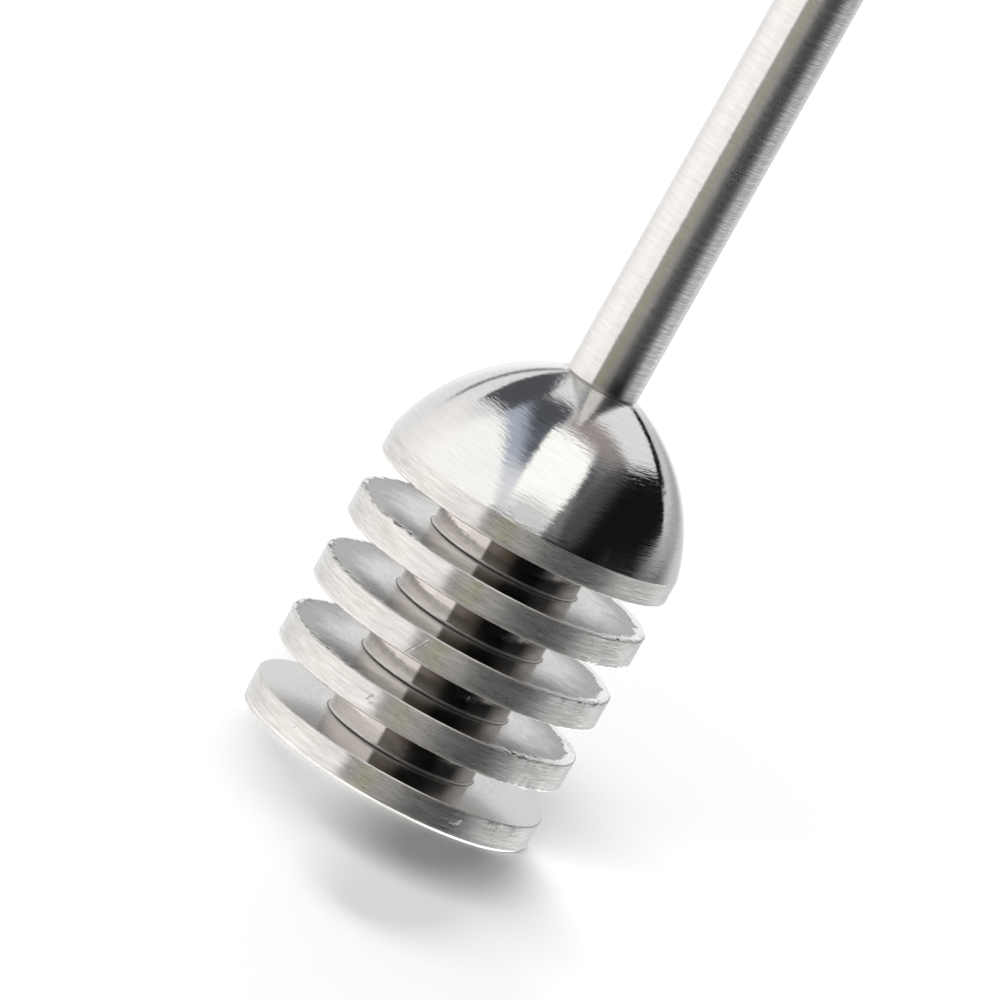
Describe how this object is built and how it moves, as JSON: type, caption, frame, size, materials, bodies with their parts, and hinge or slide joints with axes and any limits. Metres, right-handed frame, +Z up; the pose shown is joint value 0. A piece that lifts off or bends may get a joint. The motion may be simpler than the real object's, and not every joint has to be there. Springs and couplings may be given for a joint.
{
  "type": "honey dipper",
  "caption": "Honey dipper of turned stainless steel: a domed head with deep ring grooves that stands on its flat foot, on a plain round handle.",
  "frame": {"origin": "centre of the flat foot of the lowest disc", "axes": "+Z up the common axis of head and handle; X and Y are any two directions across it, because the part is round"},
  "size_m": [0.025, 0.025, 0.16],
  "materials": {
    "head_steel": "fine-turned stainless steel, the dome polished brighter than the discs",
    "handle_steel": "ground and satin-polished stainless bar, with fine marks round it"
  },
  "bodies": {
    "root": {"head": "head_steel", "handle": "handle_steel"}
  },
  "joints": []
}
